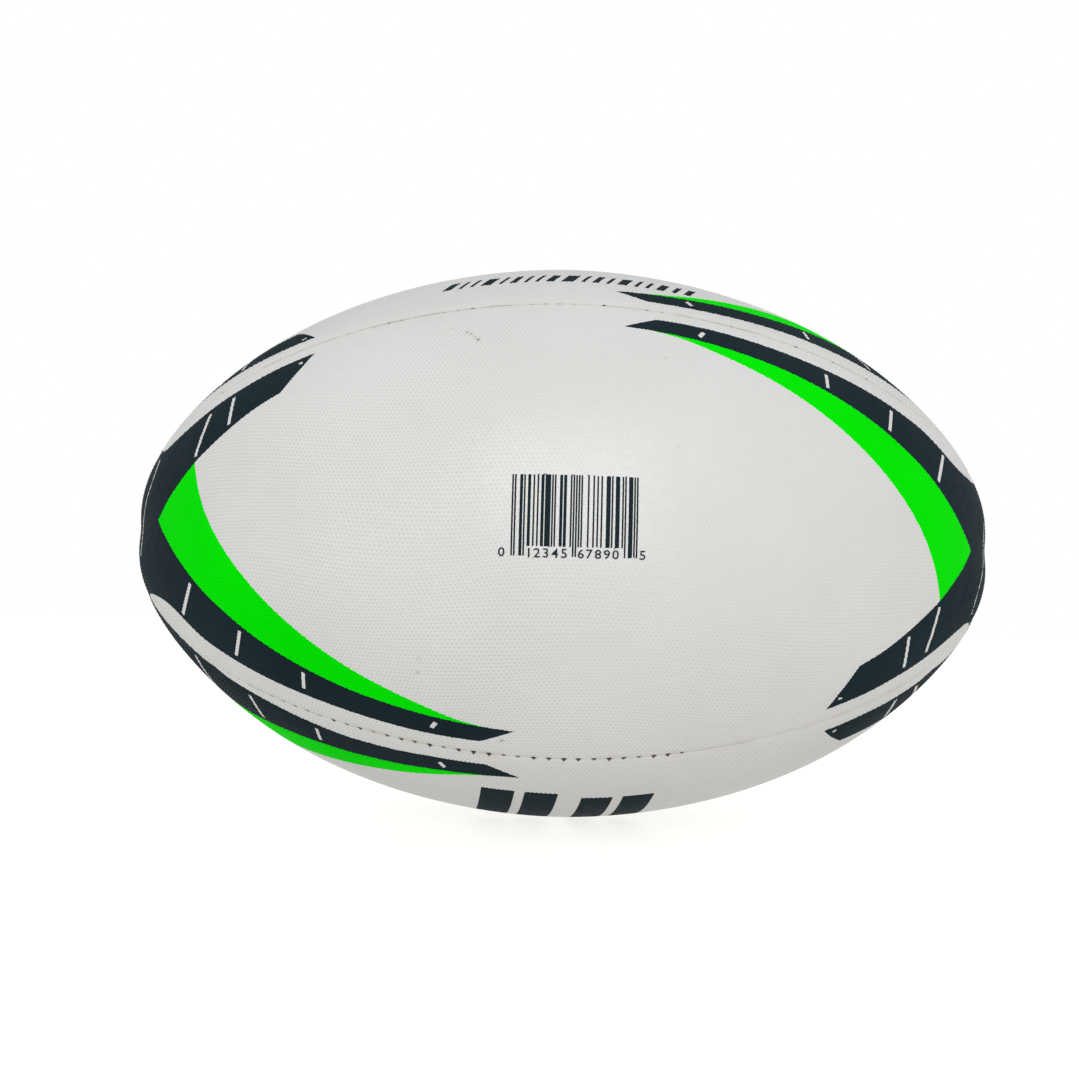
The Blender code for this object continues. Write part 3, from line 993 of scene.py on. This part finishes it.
def thread_material():
    """Dark waxed thread with a twist."""
    material, tree, shader = new_material("waxed_thread")
    place = node(tree, "ShaderNodeTexCoord")
    wave = node(tree, "ShaderNodeTexWave", Scale=520.0, Distortion=1.5, bands_direction="DIAGONAL")
    tree.links.new(place.outputs["Object"], wave.inputs["Vector"])
    colour = ramp(tree, wave.outputs["Fac"], [(0.2, (0.06, 0.04, 0.025)), (0.8, (0.20, 0.14, 0.09))])
    tree.links.new(colour, shader.inputs["Base Color"])
    shader.inputs["Roughness"].default_value = 0.7
    bump(tree, shader, wave.outputs["Fac"], 0.6, 0.0001)
    return material


def cloth_material():
    """Plain weave of the backing plies."""
    material, tree, shader = new_material("ply_weave")
    place = node(tree, "ShaderNodeTexCoord")
    threads = []
    for direction in ("X", "Z"):
        wave = node(tree, "ShaderNodeTexWave", Scale=420.0, Distortion=0.6, bands_direction=direction)
        tree.links.new(place.outputs["Object"], wave.inputs["Vector"])
        threads.append(wave.outputs["Color"])
    weave = mix(tree, "MULTIPLY", 1.0, threads[0], threads[1])
    colour = ramp(tree, weave, [(0.0, (0.42, 0.38, 0.30)), (0.6, (0.70, 0.66, 0.55))])
    tree.links.new(colour, shader.inputs["Base Color"])
    shader.inputs["Roughness"].default_value = 0.9
    shader.inputs["Sheen Weight"].default_value = 0.15
    bump(tree, shader, weave, 0.5, 0.0003)
    return material


def latex_material():
    """Amber rubber of the bladder and its patch."""
    material, tree, shader = new_material("bladder_rubber")
    colour = ramp(tree, object_noise(tree, 30.0, 5.0), [(0.3, (0.46, 0.31, 0.15)), (0.7, (0.60, 0.43, 0.23))])
    tree.links.new(colour, shader.inputs["Base Color"])
    rough = ramp(tree, object_noise(tree, 120.0), [(0.3, (0.42,) * 3), (0.7, (0.58,) * 3)])
    tree.links.new(rough, shader.inputs["Roughness"])
    bump(tree, shader, object_noise(tree, 500.0, 4.0), 0.25, 0.0003)
    return material


def dark_rubber(name, low, high):
    """Plain moulded rubber of the valve."""
    material, tree, shader = new_material(name)
    colour = ramp(tree, object_noise(tree, 250.0, 4.0), [(0.3, low), (0.7, high)])
    tree.links.new(colour, shader.inputs["Base Color"])
    rough = ramp(tree, object_noise(tree, 600.0), [(0.3, (0.45,) * 3), (0.7, (0.62,) * 3)])
    tree.links.new(rough, shader.inputs["Roughness"])
    bump(tree, shader, object_noise(tree, 1800.0, 3.0), 0.3, 0.0001)
    return material


# ---------------------------------------------------------------- code digits
DIGIT_HEIGHT = 2.4           # in mm
DIGIT_WIDER = 1.1            # against the font's own width
DIGIT_ANGLE = -6.3           # foot of the digits, in degrees
# Middle of each digit, as x in mm.
DIGIT_PLACES = (-18.2, -11.0, -8.9, -6.6, -4.2, -1.8, 2.6, 4.8, 7.1, 9.4, 11.7, 18.8)


def make_digits(material):
    """The placeholder number under the code, as thin ink laid on the pimples."""
    places, faces = [], []
    start = 0
    for digit, middle in zip(CODE_DIGITS, DIGIT_PLACES):
        curve = bpy.data.curves.new("digit", "FONT")
        curve.body = digit
        curve.resolution_u = 4
        curve.offset = 0.005
        curve.extrude = 0.03
        text = bpy.data.objects.new("digit", curve)
        mesh = text.to_mesh()
        mesh.calc_loop_triangles()
        point = np.array([v.co[:] for v in mesh.vertices])
        tris = np.array([t.vertices[:] for t in mesh.loop_triangles])
        text.to_mesh_clear()
        bpy.data.objects.remove(text)
        bpy.data.curves.remove(curve)
        foot = point[:, :2].min(0)
        width, height = np.ptp(point[:, :2], axis=0)
        scale = DIGIT_HEIGHT / height * MM
        x = middle * MM + (point[:, 0] - foot[0] - 0.5 * width) * scale * DIGIT_WIDER
        angle = math.radians(DIGIT_ANGLE) + (point[:, 1] - foot[1]) * scale / SEAM_RADIUS
        lift = np.where(point[:, 2] > 0, PIMPLE_HEIGHT + 0.02 * MM, 0.5 * PIMPLE_HEIGHT)
        places.append(surface(x, angle) + normal(x, angle) * lift[:, None])
        faces.append(tris + start)
        start += len(point)
    place, tris = np.concatenate(places), np.concatenate(faces)
    values = {"peak": np.ones(len(place))}
    item = mesh_object("code_digits", place, tris, np.zeros(len(tris)), (material,), values)
    item.data.set_sharp_from_angle(angle=math.radians(40))
    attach(item, "root")


# ---------------------------------------------------------------- the ball
# The fourth and fifth numbers give how dark the painted shade makes the deep hollows and the places between.
ground = grained("white_rubber", (0.446, 0.447, 0.438), (0.472, 0.472, 0.465), 0.60, 0.92, 0.42, 0.4, True)
black_ink = grained("black_ink", (0.0060, 0.0130, 0.0170), (0.0090, 0.0180, 0.0235), 0.45, 0.9, 0.5, 0.015)
green_ink = grained("green_ink", (0.0, 0.505, 0.0), (0.0, 0.57, 0.0), 0.75, 0.94, 0.55, 0.01)
seam_glue_and_shade = shade_material()
panel_materials = (ground, black_ink, green_ink, seam_glue_and_shade)

for side in SIDES:
    make_panel(side, panel_materials)
    make_edges(side, panel_materials)

make_digits(black_ink)

thread = thread_material()
cloth = cloth_material()
latex = latex_material()
valve_dark = dark_rubber("valve_rubber_black", (0.018, 0.018, 0.020), (0.040, 0.040, 0.044))
core_dark = dark_rubber("core_rubber_grey", (0.05, 0.05, 0.055), (0.09, 0.09, 0.10))
LOOKS = {
    "thread": thread,
    "ply": cloth,
    "bladder": latex,
    "valve_patch": latex,
    "valve_body": valve_dark,
    "valve_core": core_dark,
}
for name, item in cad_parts.items():
    for prefix, material in LOOKS.items():
        if name.startswith(prefix):
            item.data.materials.clear()
            item.data.materials.append(material)

# ---------------------------------------------------------------- stage
FLOOR_Z = -92.9 * MM         # just under the ball
FLOOR_REACH = 6.0            # from the middle to each side, in metres


def make_floor():
    """A plain pale floor that glows a little, so that it stays near white."""
    ends = (-FLOOR_REACH, FLOOR_REACH)
    (left, right), (near, far) = ends, ends
    mesh = bpy.data.meshes.new("floor")
    corners = [(left, near, FLOOR_Z), (right, near, FLOOR_Z), (right, far, FLOOR_Z), (left, far, FLOOR_Z)]
    mesh.from_pydata(corners, [], [(0, 1, 2, 3)])
    material, tree, shader = new_material("floor_pale")
    colour = ramp(tree, object_noise(tree, 3.0), [(0.0, (0.24, 0.24, 0.24)), (1.0, (0.26, 0.26, 0.26))])
    tree.links.new(colour, shader.inputs["Base Color"])
    shader.inputs["Emission Color"].default_value = (1.0, 0.985, 0.95, 1.0)
    shader.inputs["Emission Strength"].default_value = 0.82
    shader.inputs["Roughness"].default_value = 0.9
    shader.inputs["Specular IOR Level"].default_value = 0.1
    mesh.materials.append(material)
    item = bpy.data.objects.new("floor", mesh)
    bpy.context.scene.collection.objects.link(item)


def area_light(name, place, target, size, power):
    """A square soft light that faces its target."""
    light = bpy.data.lights.new(name, "AREA")
    light.size = size
    light.energy = power
    item = bpy.data.objects.new(name, light)
    item.location = place
    item.rotation_euler = (Vector(target) - Vector(place)).to_track_quat("-Z", "Y").to_euler()
    bpy.context.scene.collection.objects.link(item)


def make_world(strength):
    """Even white light from all round."""
    world = bpy.data.worlds.new("studio")
    world.use_nodes = True
    back = world.node_tree.nodes["Background"]
    back.inputs["Color"].default_value = (1.0, 1.0, 1.0, 1.0)
    back.inputs["Strength"].default_value = strength
    bpy.context.scene.world = world


def make_camera():
    """Camera axes are the ball's axes turned by pitch, yaw and roll."""
    pitch = Matrix.Rotation(-CAMERA_PITCH, 3, "X")
    yaw = Matrix.Rotation(CAMERA_YAW, 3, "Z")
    roll = Matrix.Rotation(CAMERA_ROLL, 3, "Y")
    to_ball = (roll @ yaw @ pitch).inverted()
    place = to_ball @ Vector((0.0, -CAMERA_DISTANCE, 0.0))
    across = to_ball @ Vector((1.0, 0.0, 0.0))
    up = to_ball @ Vector((0.0, 0.0, 1.0))
    back = to_ball @ Vector((0.0, -1.0, 0.0))
    data = bpy.data.cameras.new("camera")
    data.sensor_width = SENSOR_WIDTH
    data.lens = LENS
    data.shift_x, data.shift_y = CAMERA_SHIFT
    data.clip_start = 0.01
    item = bpy.data.objects.new("camera", data)
    item.matrix_world = Matrix((
        (across.x, up.x, back.x, place.x),
        (across.y, up.y, back.y, place.y),
        (across.z, up.z, back.z, place.z),
        (0.0, 0.0, 0.0, 1.0),
    ))
    bpy.context.scene.collection.objects.link(item)
    bpy.context.scene.camera = item


make_floor()
make_world(1.0)
area_light("front", (0.0, -1.5, 0.5), (0.0, 0.0, 0.0), 1.0, 15.5)
area_light("back", (0.0, 1.5, 0.4), (0.0, 0.0, 0.0), 1.0, 9.0)
make_camera()
bpy.context.scene.view_settings.view_transform = "Standard"
